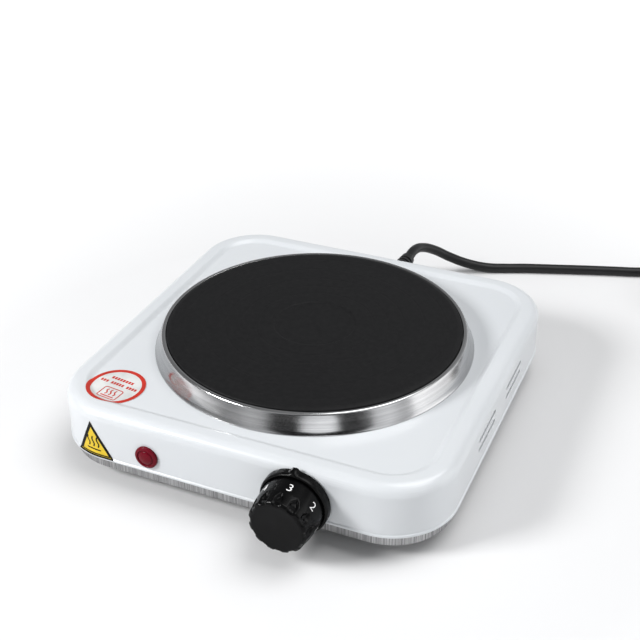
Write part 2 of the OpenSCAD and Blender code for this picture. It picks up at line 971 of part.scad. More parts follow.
module strain_relief() {
    color("black")
        on_back(relief_x, relief_z)
            rotate_extrude()
                polygon([
                    [0, -sheet - collar_in], [relief_barrel_r + 1.7, -sheet - collar_in],
                    [relief_barrel_r + 1.7, -sheet], [relief_barrel_r, -sheet], [relief_barrel_r, 0],
                    [relief_barrel_r + 2.2, 0], [relief_barrel_r + 2.2, 1.4],
                    [relief_barrel_r + 1.6, 2], [relief_barrel_r - 0.6, 2],
                    [cord_r + 1.1, relief_l], [0, relief_l]
                ]);
}

module cord_lead() {
    color("black")
        tube(cord_route, cord_r, cord_sides);
}

module cord_coil() {
    chamfer = 1.5;
    color("black")
        translate(coil_at)
            rotate_extrude()
                polygon([
                    [coil_in_r, coil_low], [coil_out_r, coil_low],
                    [coil_out_r, coil_high - chamfer], [coil_out_r - chamfer, coil_high],
                    [coil_in_r + chamfer, coil_high], [coil_in_r, coil_high - chamfer]
                ]);
}

module cord_tie() {
    color("dimgray")
        translate(coil_at)
            rotate([0, 0, 230])
                rotate_extrude(angle = 16)
                    difference() {
                        translate([coil_in_r - tie_t, 0])
                            square([coil_out_r - coil_in_r + 2 * tie_t, coil_high + tie_t]);
                        translate([coil_in_r, coil_low])
                            square([coil_out_r - coil_in_r, coil_high - coil_low]);
                    }
}

module cord_end() {
    color("black")
        tube(end_route, cord_r, cord_sides);
}

// Puts children on the plug, with z pointing along its pins
module on_plug() {
    translate(plug_at)
        rotate([90, 0, 0])
            children();
}

module plug_body() {
    boot_l = 16;
    color("black")
        on_plug() {
            rotate_extrude()
                polygon([
                    [0, 0], [cord_r + 1, 0], [cord_r + 3, boot_l], [0, boot_l]
                ]);
            hull()
                for (sx = [-1, 1], sy = [-1, 1])
                    translate([sx * 8, sy * 6, boot_l])
                        cylinder(r1 = 3, r2 = 5, h = 8, $fn = 32);
            hull()
                for (sx = [-1, 1], sy = [-1, 1])
                    translate([sx * 8, sy * 6, boot_l + 8])
                        cylinder(r = 5, h = 22, $fn = 32);
        }
}

// Two flat blades and a round earth pin
module plug_pins() {
    face = 46;
    color("gold")
        on_plug() {
            for (s = [-1, 1])
                translate([4.5, s * 6.35, face + 8.5])
                    cube([6.3, 1.5, 17], center = true);
            translate([-7.4, 0, 0])
                rod(2.4, face, face + 19);
        }
}

// ---------- Labels ----------

// Height of the housing's top, which rises from the panel to the rim
function top_z(x, y) =
    let (
        dx = max(abs(x) - side_x + corner_r, 0),
        dy = max(abs(y - body_y) - body_d / 2 + corner_r, 0),
        u = min(max((norm([dx, dy]) - corner_r + rim_w + 2) / 4, 0), 1)
    )
    panel_z + panel_drop * u * u * (3 - 2 * u);

// A round sticker that follows the step between the panel and the rim
module caution_label() {
    at = [-side_x + label_in[0], front_y + label_in[1]];
    rings = 10;
    n = 32;
    flat = [
        at,
        for (i = [1 : rings], k = [0 : n - 1])
            at + label_r * i / rings * [cos(360 * k / n), sin(360 * k / n)]
    ];
    count = len(flat);
    points = [
        for (lift = [label_gap, label_gap + label_t], q = flat) [q[0], q[1], top_z(q[0], q[1]) + lift]
    ];
    fan = [for (k = [0 : n - 1]) [0, 1 + k, 1 + (k + 1) % n]];
    bands = [
        for (i = [0 : rings - 2], k = [0 : n - 1], half = [0, 1])
            let (a = 1 + i * n + k, b = 1 + i * n + (k + 1) % n)
            half == 0 ? [a, a + n, b + n] : [a, b + n, b]
    ];
    under = concat(fan, bands);
    over = [for (f = under) [f[2] + count, f[1] + count, f[0] + count]];
    rim = [
        for (k = [0 : n - 1], half = [0, 1])
            let (a = 1 + (rings - 1) * n + k, b = 1 + (rings - 1) * n + (k + 1) % n)
            half == 0 ? [a, a + count, b + count] : [a, b + count, b]
    ];
    color("tomato")
        polyhedron(points = points, faces = concat(under, over, rim), convexity = 4);
}

// A thin layer over the outside of the wall
module label_layer() {
    translate([0, body_y, 0])
        round_body(body_w, body_d, corner_r)
            translate([corner_r, wall_z + hem_h])
                square([label_t, rim_z - edge_r - wall_z - hem_h]);
}

module hot_surface_label() {
    color("gold")
        intersection() {
            label_layer();
            on_front(-side_x, wall_z)
                linear_extrude(height = 60, center = true)
                    polygon(warning_triangle);
        }
}

housing();
base_plate();
support_posts();
foot_pads();
foot_screws();
trim_ring();
hot_plate();
heating_coils();
coil_packing();
plate_cover();
coil_terminals();
terminal_beads();
centre_stud();
clamp_strap();
shield_spacer();
heat_shield();
stud_washer();
stud_nut();
dial_collar();
knob();
dial_spindle();
spindle_bush();
thermostat_bracket();
thermostat_screws();
drive_pin();
contact_leaf();
fixed_leaf();
ceramic_washers();
stack_rivet();
lamp_lens();
lamp_bulb();
lamp_clip();
terminal_block();
terminal_sleeves();
terminal_screws();
earth_screw();
live_wire();
neutral_wire();
earth_core();
earth_wire();
thermostat_wire();
element_wires();
lamp_wires();
cord_sheath();
strain_relief();
cord_lead();
cord_coil();
cord_tie();
cord_end();
plug_body();
plug_pins();
caution_label();
hot_surface_label();
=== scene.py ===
"""Looks of a single-burner electric hot plate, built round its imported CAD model.

Everything is in metres in the CAD frame: +Z is up and the dial faces -Y. Profiles, routes and
label drawings are written in millimetres and scaled as they are made.
"""
import json
import math

import bmesh
import bpy
from mathutils import Matrix, Vector
from mathutils.bvhtree import BVHTree


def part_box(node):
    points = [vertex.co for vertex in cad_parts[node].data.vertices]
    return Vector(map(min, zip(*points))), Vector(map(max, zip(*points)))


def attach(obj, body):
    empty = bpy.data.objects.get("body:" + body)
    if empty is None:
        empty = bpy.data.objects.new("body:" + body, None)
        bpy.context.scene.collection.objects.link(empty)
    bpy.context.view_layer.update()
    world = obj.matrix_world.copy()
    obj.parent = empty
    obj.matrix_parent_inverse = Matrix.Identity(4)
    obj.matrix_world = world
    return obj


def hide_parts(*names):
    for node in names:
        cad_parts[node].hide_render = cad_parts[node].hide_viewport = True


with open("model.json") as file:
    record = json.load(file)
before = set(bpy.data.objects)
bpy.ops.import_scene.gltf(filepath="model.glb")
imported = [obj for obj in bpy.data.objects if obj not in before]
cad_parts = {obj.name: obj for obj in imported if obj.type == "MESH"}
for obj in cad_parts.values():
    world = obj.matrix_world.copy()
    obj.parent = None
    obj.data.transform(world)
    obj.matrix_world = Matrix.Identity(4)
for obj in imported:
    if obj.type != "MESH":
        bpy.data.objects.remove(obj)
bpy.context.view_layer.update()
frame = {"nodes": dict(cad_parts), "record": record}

MM = 0.001
TAU = 2 * math.pi
BODY = "hot_plate_unit"
DIAL = "dial"

# ---------- Places and sizes, from the frame ----------

# Four design sizes of the housing that no box tells.
HEM_OUT = 0.5 * MM
HEM_H = 1.4 * MM
CORNER_R = 33 * MM
PANEL_DROP = 1.7 * MM


def middle(node):
    low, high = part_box(node)
    return (low + high) / 2


def radius(node):
    low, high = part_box(node)
    return (high.x - low.x) / 2


HOUSE_LOW, HOUSE_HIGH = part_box("housing")
SIDE_X = HOUSE_HIGH.x - HEM_OUT
FRONT_Y = HOUSE_LOW.y + HEM_OUT
BACK_Y = HOUSE_HIGH.y - HEM_OUT
MID_Y = (HOUSE_LOW.y + HOUSE_HIGH.y) / 2
WALL_Z = HOUSE_LOW.z
RIM_Z = HOUSE_HIGH.z
PANEL_Z = RIM_Z - PANEL_DROP
BASE_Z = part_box("base_plate")[0].z
PLATE_R = radius("hot_plate")
PLATE_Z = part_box("hot_plate")[1].z
SKIRT_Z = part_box("hot_plate")[0].z
RING_R = radius("trim_ring")
LIP_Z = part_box("trim_ring")[1].z
KNOB_R = radius("knob")
KNOB_REACH = FRONT_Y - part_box("knob")[0].y
KNOB_BACK = FRONT_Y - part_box("knob")[1].y
COLLAR_R = radius("dial_collar")
COLLAR_H = FRONT_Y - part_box("dial_collar")[0].y
DIAL_AT = (middle("knob").x, middle("dial_spindle").z)
LAMP_AT = (middle("lamp_lens").x, middle("lamp_lens").z)
LAMP_R = radius("lamp_lens")


# ---------- Camera ----------

def aim_camera(azimuth, elevation, roll, distance, aside, above, lens):
    """Looks at the middle of the body's foot, moved aside and above in the picture's own directions."""
    az, el, ro = (math.radians(a) for a in (azimuth, elevation, roll))
    back = Vector((math.sin(az) * math.cos(el), -math.cos(az) * math.cos(el), math.sin(el)))
    right = Vector((math.cos(az), math.sin(az), 0))
    up = back.cross(right)
    place = Vector((0, MID_Y, BASE_Z)) + back * distance + right * aside + up * above
    across = right * math.cos(ro) + up * math.sin(ro)
    upward = up * math.cos(ro) - right * math.sin(ro)
    turn = Matrix((across, upward, back)).transposed().to_4x4()
    data = bpy.data.cameras.new("camera")
    data.lens = lens
    data.sensor_width = 36
    camera = bpy.data.objects.new("camera", data)
    camera.matrix_world = Matrix.Translation(place) @ turn
    bpy.context.scene.collection.objects.link(camera)
    bpy.context.scene.camera = camera


aim_camera(
    azimuth=23.62, elevation=31.45, roll=-0.334, distance=0.6211,
    aside=0.00283, above=0.03863, lens=64.08,
)


# ---------- Mesh helpers ----------

def mesh_object(name, points, faces, sharp=35, kinds=None):
    """A mesh with smooth faces and sharp creases. kinds gives each face's material number."""
    bm = bmesh.new()
    verts = [bm.verts.new(p) for p in points]
    for i, face in enumerate(faces):
        made = bm.faces.new([verts[k] for k in face])
        if kinds:
            made.material_index = kinds[i]
    return bm_object(name, bm, sharp)


def bm_object(name, bm, sharp=35):
    """Makes an object of a bmesh, smooth but for creases above sharp degrees."""
    bmesh.ops.remove_doubles(bm, verts=bm.verts, dist=1e-6)
    bmesh.ops.recalc_face_normals(bm, faces=bm.faces)
    limit = math.radians(sharp)
    for face in bm.faces:
        face.smooth = True
    for edge in bm.edges:
        if edge.is_manifold and edge.calc_face_angle(0) > limit:
            edge.smooth = False
    mesh = bpy.data.meshes.new(name)
    bm.to_mesh(mesh)
    bm.free()
    obj = bpy.data.objects.new(name, mesh)
    bpy.context.scene.collection.objects.link(obj)
    return obj


def piece(obj, slot, replaces=(), body=BODY, mats=()):
    """Gives a new piece the material of its slot, or the given mats, and a body, and hides the CAD nodes
    that it stands for.
    """
    for mat in mats or (MATERIALS[slot],):
        obj.data.materials.append(mat)
    if replaces:
        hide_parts(*replaces)
    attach(obj, body)
    return obj


def loft(rows, place, closed=False):
    """Points and faces of rings joined one to the next. A ring of one point closes the end."""
    points, faces, ids = [], [], []
    for row in rows:
        ids.append(list(range(len(points), len(points) + len(row))))
        points += [place @ Vector(p) for p in row]
    n = max(len(row) for row in rows)
    pairs = list(zip(ids, ids[1:])) + ([(ids[-1], ids[0])] if closed else [])
    for low, high in pairs:
        for k in range(n):
            a, b = low[k % len(low)], low[(k + 1) % len(low)]
            c, d = high[(k + 1) % len(high)], high[k % len(high)]
            kept = [v for i, v in enumerate((a, b, c, d)) if v not in (a, b, c, d)[:i]]
            faces.append(kept)
    return points, faces


def lathe(name, profile, place, steps=128, sharp=35):
    """Turns a profile of (radius, height) about the place's z axis. Radius 0 closes an end."""
    rows = []
    for r, z in profile:
        if r < 1e-7:
            rows.append([(0, 0, z)])
        else:
            rows.append([
                (r * math.cos(TAU * k / steps), r * math.sin(TAU * k / steps), z)
                for k in range(steps)
            ])
    closed = profile[0][0] > 1e-7 and profile[-1][0] > 1e-7
    points, faces = loft(rows, place, closed)
    return mesh_object(name, points, faces, sharp)


def arc(cx, cy, r, start, end, steps=6):
    """Points on a round corner of a profile, from one angle to another in degrees."""
    turns = [math.radians(start + (end - start) * i / steps) for i in range(steps + 1)]
    return [(cx + r * math.cos(t), cy + r * math.sin(t)) for t in turns]


def scaled(profile):
    """A profile from millimetres to metres."""
    return [(r * MM, z * MM) for r, z in profile]


def on_plate():
    return Matrix.Translation((0, MID_Y, 0))


def on_front(at):
    """A frame on the front wall: x to the right, y up, z out of the wall."""
    turn = Matrix(((1, 0, 0), (0, 0, -1), (0, 1, 0))).to_4x4()
    return Matrix.Translation((at[0], FRONT_Y, at[1])) @ turn


def on_back(at):
    turn = Matrix(((-1, 0, 0), (0, 0, 1), (0, 1, 0))).to_4x4()
    return Matrix.Translation((at[0], BACK_Y, at[1])) @ turn


def eased(u):
    """Goes smoothly from 0 to 1 as u does."""
    return (1 - math.cos(math.pi * min(1, max(0, u)))) / 2


# ---------- Material helpers ----------

def shader(name, color, roughness, metallic=0.0, **sockets):
    """A Principled material whose plain values are set on the shader's own sockets."""
    mat = bpy.data.materials.new(name)
    mat.use_nodes = True
    bsdf = mat.node_tree.nodes["Principled BSDF"]
    bsdf.inputs["Base Color"].default_value = (*color, 1)
    bsdf.inputs["Roughness"].default_value = roughness
    bsdf.inputs["Metallic"].default_value = metallic
    for key, value in sockets.items():
        bsdf.inputs[key.replace("_", " ")].default_value = value
    return mat, mat.node_tree, bsdf


def noise(tree, scale, stretch=(1, 1, 1), detail=3.0, rough=0.5):
    """Noise in the object's own metres. A stretch below 1 draws it out along that axis."""
    coords = tree.nodes.new("ShaderNodeTexCoord")
    mapping = tree.nodes.new("ShaderNodeMapping")
    mapping.inputs["Scale"].default_value = stretch
    tex = tree.nodes.new("ShaderNodeTexNoise")
    tex.inputs["Scale"].default_value = scale
    tex.inputs["Detail"].default_value = detail
    tex.inputs["Roughness"].default_value = rough
    tree.links.new(coords.outputs["Object"], mapping.inputs["Vector"])
    tree.links.new(mapping.outputs["Vector"], tex.inputs["Vector"])
    return tex.outputs["Fac"]


def maths(tree, operation, a, b=None):
    """A math node whose inputs are sockets or numbers."""
    node = tree.nodes.new("ShaderNodeMath")
    node.operation = operation
    for socket, value in zip(node.inputs, (a, b)):
        if isinstance(value, (int, float)):
            socket.default_value = value
        elif value is not None:
            tree.links.new(value, socket)
    return node.outputs["Value"]


def turned(tree, rate, height_share=1.0):
    """Noise drawn out into rings about the plate's axis. rate is the noise scale across the radius."""
    coords = tree.nodes.new("ShaderNodeTexCoord")
    split = tree.nodes.new("ShaderNodeSeparateXYZ")
    ring = tree.nodes.new("ShaderNodeCombineXYZ")
    tex = tree.nodes.new("ShaderNodeTexNoise")
    tex.inputs["Scale"].default_value = rate
    tex.inputs["Detail"].default_value = 3
    tree.links.new(coords.outputs["Object"], split.inputs["Vector"])
    x = split.outputs["X"]
    y = maths(tree, "SUBTRACT", split.outputs["Y"], MID_Y)
    square = maths(tree, "ADD", maths(tree, "MULTIPLY", x, x), maths(tree, "MULTIPLY", y, y))
    far = maths(tree, "SQRT", square)
    tree.links.new(far, ring.inputs["X"])
    tree.links.new(maths(tree, "MULTIPLY", split.outputs["Z"], height_share), ring.inputs["Z"])
    tree.links.new(ring.outputs["Vector"], tex.inputs["Vector"])
    return tex.outputs["Fac"]


def vector_value(tree, operation, vector, other=None):
    """The value of a vector math node, such as a length or a dot product."""
    node = tree.nodes.new("ShaderNodeVectorMath")
    node.operation = operation
    tree.links.new(vector, node.inputs[0])
    if other:
        node.inputs[1].default_value = other
    return node.outputs["Value"]


def spread(tree, fac, low, high, start=0.3, end=0.7):
    """Stretches the values from start to end over low to high. Most of a noise lies from 0.3 to 0.7."""
    node = tree.nodes.new("ShaderNodeMapRange")
    node.inputs["From Min"].default_value = start
    node.inputs["From Max"].default_value = end
    node.inputs["To Min"].default_value = low
    node.inputs["To Max"].default_value = high
    tree.links.new(fac, node.inputs["Value"])
    return node.outputs["Result"]


def tint(tree, bsdf, fac, dark, light):
    """Varies the base colour between two colours."""
    ramp = tree.nodes.new("ShaderNodeValToRGB")
    for element, place, color in zip(ramp.color_ramp.elements, (0.3, 0.7), (dark, light)):
        element.position = place
        element.color = (*color, 1)
    tree.links.new(fac, ramp.inputs["Fac"])
    tree.links.new(ramp.outputs["Color"], bsdf.inputs["Base Color"])


def vary_roughness(tree, bsdf, fac, low, high):
    tree.links.new(spread(tree, fac, low, high), bsdf.inputs["Roughness"])


def bump(tree, bsdf, height, strength, distance):
    """Raises the surface by a height up to a distance in millimetres."""
    node = tree.nodes.new("ShaderNodeBump")
    node.inputs["Strength"].default_value = strength
    node.inputs["Distance"].default_value = distance * MM
    tree.links.new(height, node.inputs["Height"])
    tree.links.new(node.outputs["Normal"], bsdf.inputs["Normal"])


def around(color, down, up):
    """A darker and a lighter colour, by two factors."""
    return tuple(c * down for c in color), tuple(min(1, c * up) for c in color)


def enamel():
    """White stoved enamel: a slight orange peel under a clear gloss."""
    mat, tree, bsdf = shader("white_enamel", (0.61, 0.63, 0.65), 0.32, Coat_Weight=0.3, Coat_Roughness=0.16)
    tint(tree, bsdf, noise(tree, 18, detail=2), (0.6, 0.622, 0.645), (0.62, 0.64, 0.66))
    vary_roughness(tree, bsdf, noise(tree, 30, detail=1), 0.29, 0.35)
    bump(tree, bsdf, noise(tree, 260, detail=1), 0.1, 0.08)
    return mat


def brushed(name, color, roughness, stretch, scale=1400, shade=(0.8, 1.15)):
    """Steel or brass with fine scratches drawn out along the axis whose stretch is small."""
    mat, tree, bsdf = shader(name, color, roughness, 1.0)
    lines = noise(tree, scale, stretch, detail=4, rough=0.7)
    tint(tree, bsdf, lines, *around(color, *shade))
    vary_roughness(tree, bsdf, lines, roughness - 0.1, roughness + 0.1)
    bump(tree, bsdf, lines, 0.25, 0.03)
    return mat


def turned_steel():
    """The trim ring's stainless steel, with fine lines that run round it."""
    mat, tree, bsdf = shader("ring_steel", (0.46, 0.46, 0.465), 0.24, 1.0)
    lines = turned(tree, 1900)
    tint(tree, bsdf, lines, (0.41, 0.41, 0.415), (0.52, 0.52, 0.525))
    vary_roughness(tree, bsdf, noise(tree, 70), 0.13, 0.22)
    bump(tree, bsdf, lines, 0.1, 0.02)
    return mat


def cast_iron():
    """Black heat-proof coating over turned cast iron."""
    mat, tree, bsdf = shader("plate_iron", (0.007, 0.007, 0.0075), 0.55, Specular_IOR_Level=0.15)
    tint(tree, bsdf, noise(tree, 420, detail=5), (0.0055, 0.0055, 0.006), (0.0085, 0.0085, 0.009))
    vary_roughness(tree, bsdf, turned(tree, 90, 0.2), 0.52, 0.6)
    bump(tree, bsdf, turned(tree, 2200, 0.2), 0.3, 0.05)
    return mat


def plastic(name, color, roughness, grain=1200, strength=0.15, **sockets):
    """Moulded plastic, rubber, ceramic or print with a fine grain."""
    mat, tree, bsdf = shader(name, color, roughness, **sockets)
    tint(tree, bsdf, noise(tree, 90), *around(color, 0.85, 1.15))
    vary_roughness(tree, bsdf, noise(tree, 160), roughness - 0.05, roughness + 0.05)
    bump(tree, bsdf, noise(tree, grain, detail=2), strength, 0.06)
    return mat


MATERIALS = {
    "white_enamel": enamel(),
    "base_steel": brushed("base_steel", (0.34, 0.34, 0.345), 0.4, (1, 1, 0.012), 1500, shade=(0.25, 1.75)),
    "zinc_steel": brushed("zinc_steel", (0.6, 0.61, 0.6), 0.38, (1, 1, 1), 500),
    "foot_rubber": plastic("foot_rubber", (0.025, 0.025, 0.026), 0.75, strength=0.4),
    "ring_steel": turned_steel(),
    "plate_iron": cast_iron(),
    "heater_wire": brushed("heater_wire", (0.33, 0.27, 0.22), 0.5, (1, 1, 1), 800),
    "magnesia": plastic("magnesia", (0.7, 0.66, 0.58), 0.9, grain=600, strength=0.6),
    "ceramic": plastic("ceramic", (0.82, 0.8, 0.74), 0.35, grain=500),
    "shield_steel": brushed("shield_steel", (0.7, 0.71, 0.71), 0.35, (0.02, 1, 1)),
    "collar_plastic": plastic(
        "collar_plastic", (0.0018, 0.0018, 0.002), 0.26, strength=0.05, Specular_IOR_Level=0.12,
    ),
    "knob_plastic": plastic(
        "knob_plastic", (0.0018, 0.0018, 0.002), 0.24, strength=0.05, Specular_IOR_Level=0.11,
    ),
    "brass": brushed("brass", (0.72, 0.53, 0.25), 0.3, (1, 1, 1), 600),
    "leaf_brass": brushed("leaf_brass", (0.75, 0.5, 0.33), 0.32, (0.03, 1, 1)),
    "lamp_red": plastic(
        "lamp_red", (0.13, 0.0012, 0.009), 0.2, grain=700, strength=0.04, Specular_IOR_Level=0.12,
    ),
    "lamp_glass": plastic("lamp_glass", (0.8, 0.45, 0.25), 0.1, Transmission_Weight=0.8),
    "wire_blue": plastic("wire_blue", (0.04, 0.15, 0.5), 0.4),
    "wire_brown": plastic("wire_brown", (0.2, 0.08, 0.03), 0.4),
    "wire_green": plastic("wire_green", (0.2, 0.5, 0.08), 0.4),
    "wire_grey": plastic("wire_grey", (0.5, 0.48, 0.44), 0.85, grain=2500, strength=0.7),
    "wire_orange": plastic("wire_orange", (0.7, 0.25, 0.04), 0.4),
    "cord_black": plastic("cord_black", (0.007, 0.007, 0.0075), 0.42, strength=0.2, Specular_IOR_Level=0.3),
    "relief_black": plastic(
        "relief_black", (0.007, 0.007, 0.0075), 0.45, strength=0.25, Specular_IOR_Level=0.3,
    ),
    "tie_grey": plastic("tie_grey", (0.1, 0.1, 0.105), 0.6, grain=2500, strength=0.6),
    "plug_black": plastic("plug_black", (0.009, 0.009, 0.0095), 0.4, strength=0.25, Specular_IOR_Level=0.35),
    "pin_brass": brushed("pin_brass", (0.74, 0.62, 0.4), 0.24, (1, 0.03, 1)),
    "label_red": plastic("label_red", (0.5, 0.022, 0.009), 0.45, strength=0.05),
    "label_yellow": plastic("label_yellow", (0.66, 0.46, 0.004), 0.45, strength=0.05),
}
LABEL_FILM = plastic("label_film", (0.62, 0.63, 0.62), 0.4, strength=0.05)
PRINT_BLACK = plastic("print_black", (0.004, 0.004, 0.004), 0.5, strength=0.05, Specular_IOR_Level=0.12)
PRINT_WHITE = plastic("print_white", (0.9, 0.9, 0.9), 0.45, strength=0.05)
FACE_BLACK = plastic(
    "knob_face_plastic", (0.004, 0.004, 0.0043), 0.5, grain=1600, strength=0.25, Specular_IOR_Level=0.1,
)


def paint_cad_nodes():
    """Each CAD node gets the material of its slot in the record."""
    for part in frame["record"]["subparts"]:
        mesh = frame["nodes"][part["node"]].data
        mesh.materials.clear()
        mesh.materials.append(MATERIALS[part["material_slot"]])


paint_cad_nodes()


# ---------- Mains cord ----------

# The route is in millimetres and follows the CAD cord: a lead along the floor, a coil and a tail.
CORD_R = 3 * MM
RELIEF_AT = (6 * MM, 26 * MM)
LEAD = [
    (6, 142, 26), (6, 154, 26), (8, 165, 23), (13.5, 174.5, 17.5), (22, 181, 11),
    (33, 186, 6), (45, 190.5, 3.4), (56, 195, 3), (68, 200, 3), (85, 206, 3),
    (102, 212, 3), (120, 218, 3), (138, 224, 3), (150, 229.5, 3.2), (161, 236.3, 3.5),
]
TAIL = [
    (225.3, 201, 9.8), (222, 190, 9.8), (217.5, 180, 10.2), (214.5, 170, 10.8), (214, 160, 11),
]
COIL_AT = (190, 212)
COIL_R = 36
COIL_PITCH = 6
COIL_LOW = 3.6
COIL_RISE = 6.3
COIL_FROM = 120
COIL_TURN = 1200
COIL_STEP = 15
TIE_FROM = 230
TIE_SPAN = 16


def coil_points():
    """Three and a third turns, clockwise: outer and inner on the floor, then inner and outer on top."""
    points = []
    for turn in range(0, COIL_TURN + 1, COIL_STEP):
        inward = eased((turn - 260) / 100)
        rise = eased((turn - 590) / 70)
        outward = eased((turn - 905) / 100)
        r = COIL_R - COIL_PITCH * (inward - outward)
        angle = math.radians(COIL_FROM - turn)
        x, y = COIL_AT[0] + r * math.cos(angle), COIL_AT[1] + r * math.sin(angle)
        points.append((x, y, COIL_LOW + COIL_RISE * rise))
    return points


def cord_curve():
    """The whole cord as one round curve through the route's points."""
    route = [Vector(p) * MM for p in LEAD + coil_points() + TAIL]
    data = bpy.data.curves.new("mains_cord", "CURVE")
    data.dimensions = "3D"
    data.bevel_depth = CORD_R
    data.bevel_resolution = 6
    data.resolution_u = 6
    data.use_fill_caps = True
    spline = data.splines.new("BEZIER")
    spline.bezier_points.add(len(route) - 1)
    for knot, place in zip(spline.bezier_points, route):
        knot.co = place
        knot.handle_left_type = "AUTO"
        knot.handle_right_type = "AUTO"
    obj = bpy.data.objects.new("mains_cord", data)
    bpy.context.scene.collection.objects.link(obj)
    return piece(obj, "cord_black", ("cord_lead", "cord_coil", "cord_end")), route


def relief_boot():
    """Tapered boot with rings cut into it, a flange outside the wall and a collar inside it."""
    profile = [(0, -4.8), (8.5, -4.8), (8.5, -0.8), (6.8, -0.8), (6.8, 0), (9, 0)]
    profile += arc(8.4, 1.4, 0.6, 0, 90) + [(6.6, 2)]
    for i in range(6):
        z = 4.2 + 3.7 * i
        out = 6.2 - (z - 2) * 2.1 / 26.5
        profile += [(out, z - 1), (out - 0.9, z - 0.8), (out - 0.9, z + 0.6), (out - 0.1, z + 0.8)]
    profile += [(4.15, 26)] + arc(3.6, 28, 0.5, 0, 90, 4) + [(3.05, 28.5), (0, 28.5)]
    obj = lathe("relief_boot", scaled(profile), on_back(RELIEF_AT), 64, 30)
    return piece(obj, "relief_black", ("strain_relief",))


def tie_band():
    """A thin strap round the bundle of the coil's turns, with rounded corners and eased edges.

    Its inside is given by its distances from the coil's middle and its heights over the floor.
    """
    low_x, low_z, high_x, high_z = 27, 0.6, 39, 12.9

    def outline(grow, corner):
        x0, z0, x1, z1 = low_x - grow, low_z - grow, high_x + grow, high_z + grow
        corners = ((x1, z1, 0), (x0, z1, 90), (x0, z0, 180), (x1, z0, 270))
        loop = []
        for x, z, start in corners:
            cx = x - corner if start in (0, 270) else x + corner
            cz = z - corner if start in (0, 90) else z + corner
            loop += arc(cx, cz, corner, start, start + 90, 5)
        return loop

    def placed(loop, share):
        angle = math.radians(TIE_FROM + TIE_SPAN * share)
        return [(r * math.cos(angle), r * math.sin(angle), z) for r, z in loop]

    steps = 8
    rows = []
    for i in range(steps + 1):
        thinner = 0.25 if i in (0, steps) else 0
        rows.append(placed(outline(0.6 - thinner, 1.4), i / steps))
    inner = outline(0.02, 0.8)
    for i in range(steps, -1, -1):
        rows.append(placed(inner, i / steps))
    place = Matrix.Translation((COIL_AT[0] * MM, COIL_AT[1] * MM, 0)) @ Matrix.Scale(MM, 4)
    points, faces = loft(rows, place, True)
    return piece(mesh_object("cord_band", points, faces, 40), "tie_grey", ("cord_tie",))


def plug():
    """A moulded plug: ringed boot, rounded body with grip ribs, and a flat face round the pins.

    A station is a height, two half widths and the power of its outline: 2 is round and 4 nearly square.
    """
    stations = [(0, 3.1, 3.1, 2), (0.3, 4, 4, 2)]
    for i in range(4):
        z, r = 2.4 + 3.4 * i, 4.3 + 0.45 * i
        groove = r - 0.6
        stations += [(z, r, r, 2), (z + 0.3, groove, groove, 2), (z + 1.3, groove, groove, 2)]
        stations.append((z + 1.6, r + 0.15, r + 0.15, 2))
    stations += [(16.2, 7, 6.4, 2.2), (18, 9.6, 7.8, 2.6), (20.5, 11.6, 9.4, 3)]
    stations += [(23, 12.6, 10.6, 3.4), (25, 13, 11, 3.8)]
    for i in range(5):
        z = 27 + 2.4 * i
        stations += [(z, 13, 11, 3.8), (z + 0.4, 12.4, 10.5, 3.8)]
        stations += [(z + 1.1, 12.4, 10.5, 3.8), (z + 1.5, 13, 11, 3.8)]
    stations += [(42, 13, 11, 4), (45.2, 13, 11, 4), (45.8, 12.7, 10.7, 4)]
    stations += [(46, 12.1, 10.1, 4), (46, 8, 7, 4)]
    steps = 64
    rows = [[(0, 0, 0)]]
    for z, a, b, power in stations:
        ring = []
        for k in range(steps):
            c, s = math.cos(TAU * k / steps), math.sin(TAU * k / steps)
            scale = (abs(c) ** power + abs(s) ** power) ** (-1 / power)
            ring.append((a * c * scale, b * s * scale, z))
        rows.append(ring)
    rows.append([(0, 0, 46)])
    turn = Matrix(((1, 0, 0), (0, 0, -1), (0, 1, 0))).to_4x4()
    place = Matrix.Translation(Vector(TAIL[-1]) * MM) @ turn @ Matrix.Scale(MM, 4)
    points, faces = loft(rows, place)
    return piece(mesh_object("plug_moulding", points, faces, 32), "plug_black", ("plug_body",))


def mains_cord():
    """The cord with its relief, tie, plug and the CAD pins."""
    cord, route = cord_curve()
    ends = [relief_boot(), tie_band(), plug(), frame["nodes"]["plug_pins"]]


mains_cord()


# ---------- Plate and trim ring ----------

def cooking_plate():
    """Cast plate: a dished middle, a turned top with faint rings, and a bevelled edge over the skirt."""
    top, skirt = PLATE_Z / MM, PLATE_R / MM - 2.9
    edge = PLATE_R / MM
    profile = [(0, top - 0.4), (20, top - 0.4), (20.9, top - 0.4), (21.3, top - 0.34)]
    profile += [(21.7, top - 0.06), (22.1, top), (23, top)]
    for r in (31, 38.5, 47, 58, 69):
        profile += [(r - 1, top), (r - 0.3, top), (r, top - 0.06), (r + 0.3, top), (r + 1, top)]
    profile += [(edge - 3.4, top), (edge - 2.7, top), (edge - 2.1, top - 0.08), (edge - 1.2, top - 0.38)]
    profile += arc(edge - 0.8, top - 1.3, 0.8, 70, 0, 5) + arc(edge - 0.5, top - 5, 0.5, 0, -90, 4)
    under = SKIRT_Z / MM
    profile += [(skirt, top - 5.5), (skirt, under + 0.5), (skirt - 0.5, under), (0, under)]
    obj = lathe("cooking_plate", scaled(profile), on_plate(), 256, 30)
    return piece(obj, "plate_iron", ("hot_plate",))


